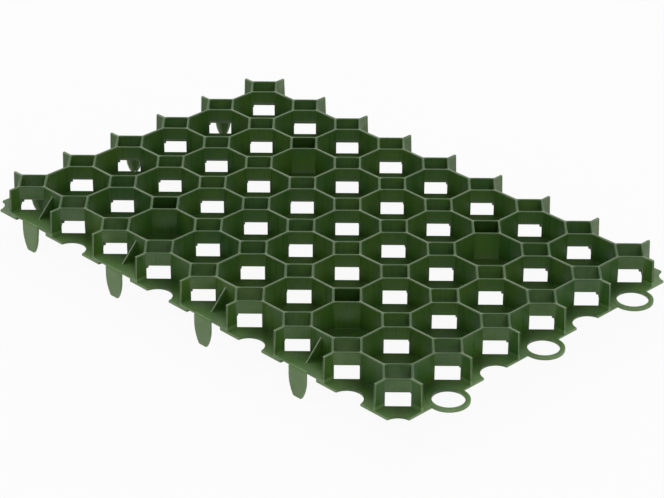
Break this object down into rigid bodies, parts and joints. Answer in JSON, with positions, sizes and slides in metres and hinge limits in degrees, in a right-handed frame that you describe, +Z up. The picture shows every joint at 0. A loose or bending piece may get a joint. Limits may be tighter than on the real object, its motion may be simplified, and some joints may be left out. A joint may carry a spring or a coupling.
{
  "type": "grass paver grid",
  "caption": "Moulded plastic grass paver grid: upright walls form eight-sided cells and small square tubes on a holed base plate, with edge rings and spikes that couple neighbouring grids.",
  "frame": {"origin": "middle of the base plate, on its underside", "axes": "+X along the length, +Y across the width, +Z up; spikes on the -X and -Y edges, rings on the +X and +Y edges"},
  "size_m": [0.6208, 0.4208, 0.0587],
  "materials": {
    "green_plastic": "moulded recycled plastic, dark green with a slight sheen"
  },
  "bodies": {
    "root": {"grass_paver_grid": "green_plastic"}
  },
  "joints": []
}
